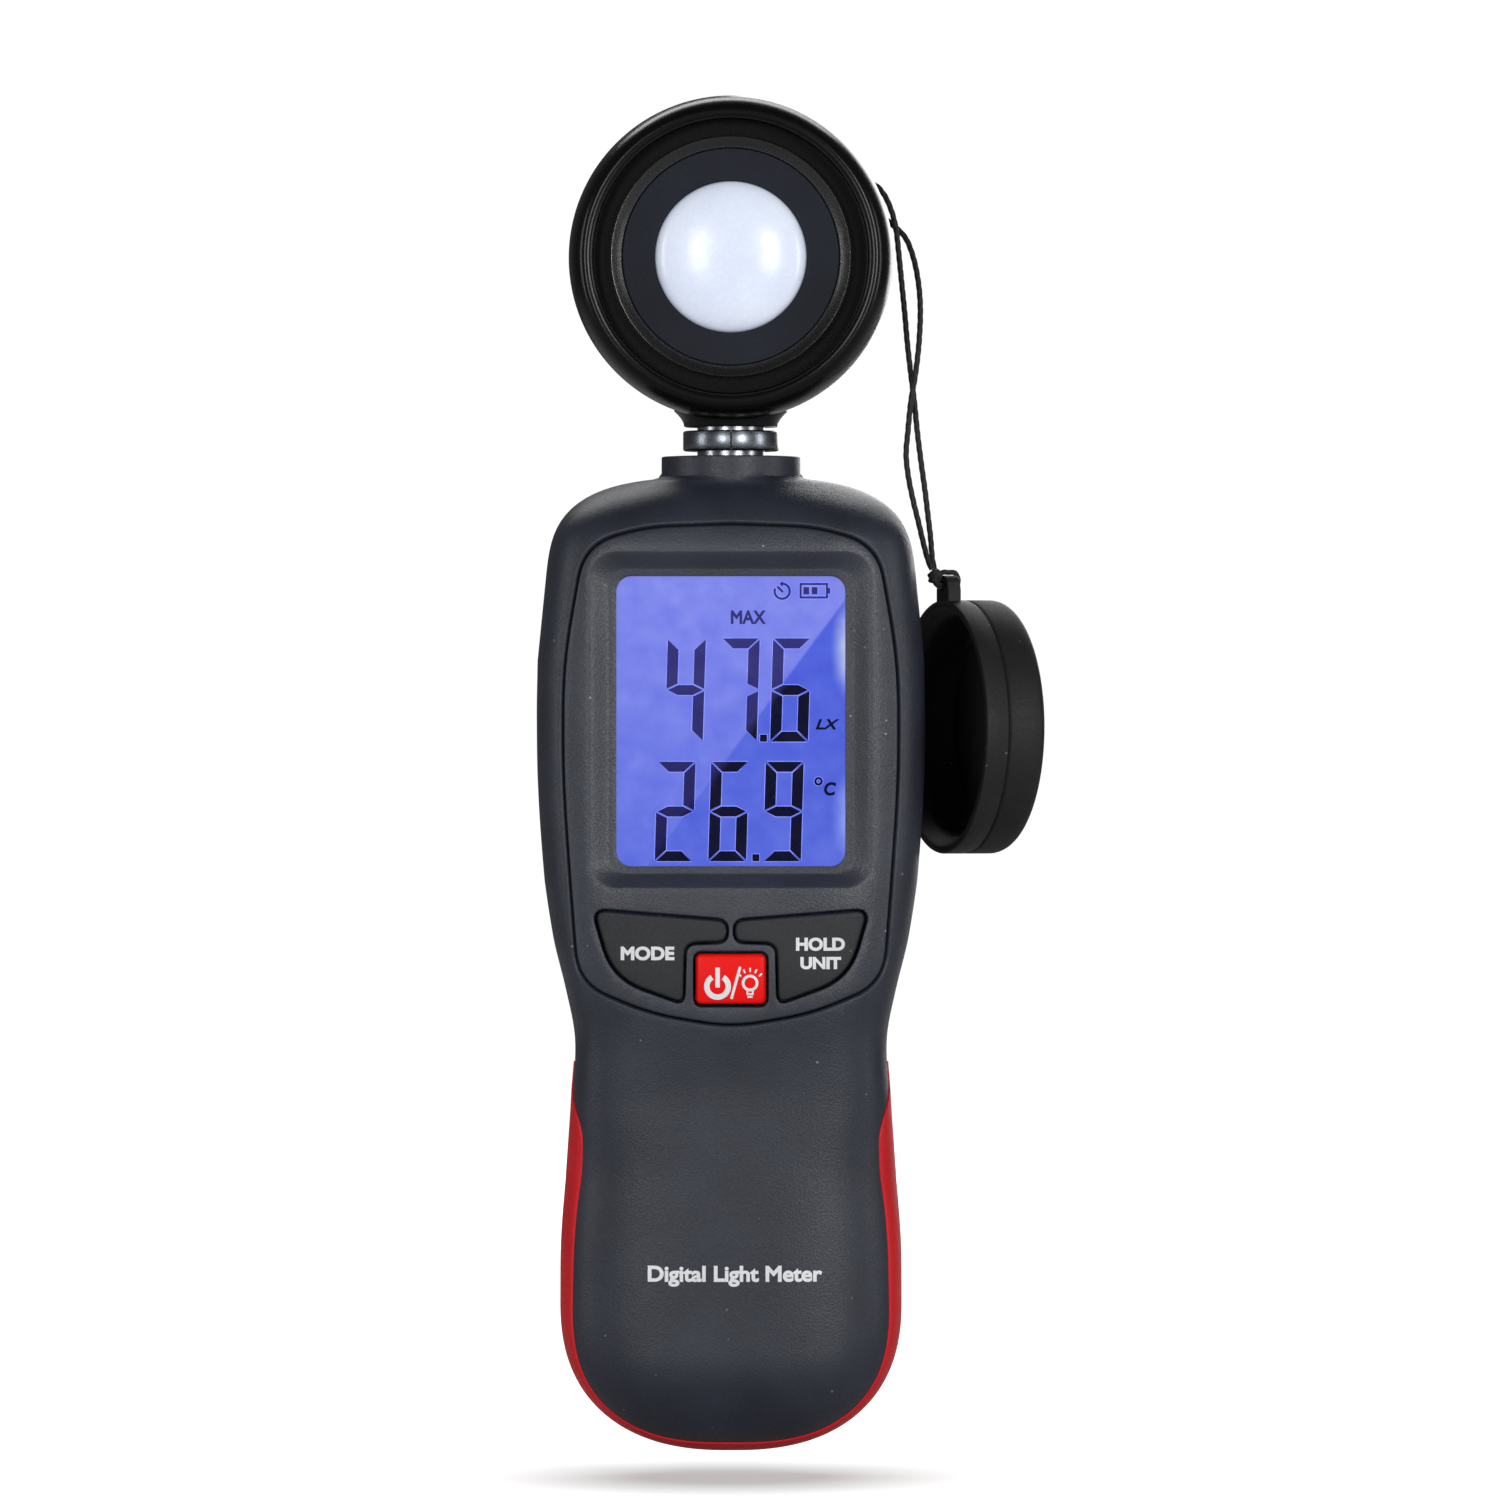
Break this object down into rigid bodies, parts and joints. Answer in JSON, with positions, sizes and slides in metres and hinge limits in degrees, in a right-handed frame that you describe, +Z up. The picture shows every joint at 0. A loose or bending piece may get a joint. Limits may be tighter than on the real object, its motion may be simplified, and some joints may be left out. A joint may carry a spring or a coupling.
{
  "type": "handheld light meter",
  "caption": "Handheld light meter with backlit display, three keys, swivelling round sensor head with white dome, rubber-edged grip and corded lens cap.",
  "frame": {"origin": "centre of the tripod socket's mouth in the flat back", "axes": "+Z up the meter, display and sensor face -Y, +X to the right as the display is read"},
  "size_m": [0.0676, 0.0394, 0.1806],
  "materials": {
    "housing": "fine satin, charcoal",
    "panel": "fine spark-eroded grain, blue-grey",
    "window": "clear, polished",
    "grip": "satin red rubber",
    "steel": "zinc plated",
    "brass": "turned",
    "nickel": "nickel plated",
    "cells": "plain shrink sleeve",
    "wire": "insulated wire",
    "board": "solder mask",
    "chip": "moulded epoxy",
    "white_plastic": "natural",
    "lcd": "backlit violet-blue",
    "backlight": "clear diffuser",
    "contact_rubber": "elastomeric",
    "black_plastic": "smooth",
    "shaft_metal": "polished",
    "chrome": "polished",
    "head": "smooth satin black",
    "bezel": "satin",
    "mask": "matte blue-black",
    "dome": "translucent white",
    "filter": "tinted",
    "dark_key": "satin",
    "red_key": "semi-gloss",
    "cap": "matte",
    "cord": "braided"
  },
  "bodies": {
    "meter_body": {"front_housing": "housing", "rear_housing": "housing", "face_panel": "panel", "display_window": "window", "grip_overmold": "grip", "housing_screws": "steel", "tripod_insert": "brass", "battery_springs": "nickel", "battery_contacts": "nickel", "batteries": "cells", "battery_leads": "wire", "main_board": "board", "controller_chip": "chip", "timing_crystal": "nickel", "temperature_sensor": "chip", "lead_socket": "white_plastic", "key_switches": "chip", "lcd_glass": "lcd", "backlight_panel": "backlight", "lcd_holder": "white_plastic", "contact_strip": "contact_rubber", "neck_bushing": "black_plastic"},
    "mode_key": {"mode_button": "dark_key", "mode_plunger": "white_plastic"},
    "hold_unit_key": {"hold_unit_button": "dark_key", "hold_unit_plunger": "white_plastic"},
    "power_key": {"power_button": "red_key", "power_plunger": "white_plastic"},
    "battery_door": {"battery_cover": "housing"},
    "sensor_head": {"swivel_shaft": "shaft_metal", "retaining_clip": "steel", "stop_washer": "steel", "friction_washer": "white_plastic", "neck_collar": "chrome", "head_front_shell": "head", "head_rear_shell": "head", "sensor_bezel": "bezel", "mask_plate": "mask", "diffuser_dome": "dome", "colour_filter": "filter", "photodiode": "chip", "sensor_board": "board", "head_screws": "steel", "sensor_lead": "wire", "lanyard_pin": "steel"},
    "hanging_cap": {"lens_cap": "cap", "cap_cord": "cord", "cord_knot": "cord"}
  },
  "joints": [
    {"name": "head_swivel", "type": "hinge", "parent": "meter_body", "child": "sensor_head", "pos_m": [0, -0.0155, 0.0745], "axis": [0, 0, 1], "range_deg": [-135, 135]},
    {"name": "cap_swing", "type": "hinge", "parent": "sensor_head", "child": "hanging_cap", "pos_m": [0.0178, -0.0086, 0.1077], "axis": [0, -1, 0], "range_deg": [0, 60]},
    {"name": "mode_press", "type": "slide", "parent": "meter_body", "child": "mode_key", "axis": [0, 1, 0], "range_m": [0, 0.0008], "stiffness_N_per_m": 1500, "springref_m": -0.0002},
    {"name": "hold_unit_press", "type": "slide", "parent": "meter_body", "child": "hold_unit_key", "axis": [0, 1, 0], "range_m": [0, 0.0008], "stiffness_N_per_m": 1500, "springref_m": -0.0002},
    {"name": "power_press", "type": "slide", "parent": "meter_body", "child": "power_key", "axis": [0, 1, 0], "range_m": [0, 0.0008], "stiffness_N_per_m": 1500, "springref_m": -0.0002},
    {"name": "battery_door_slide", "type": "slide", "parent": "meter_body", "child": "battery_door", "axis": [0, 0, -1], "range_m": [0, 0.006]}
  ]
}
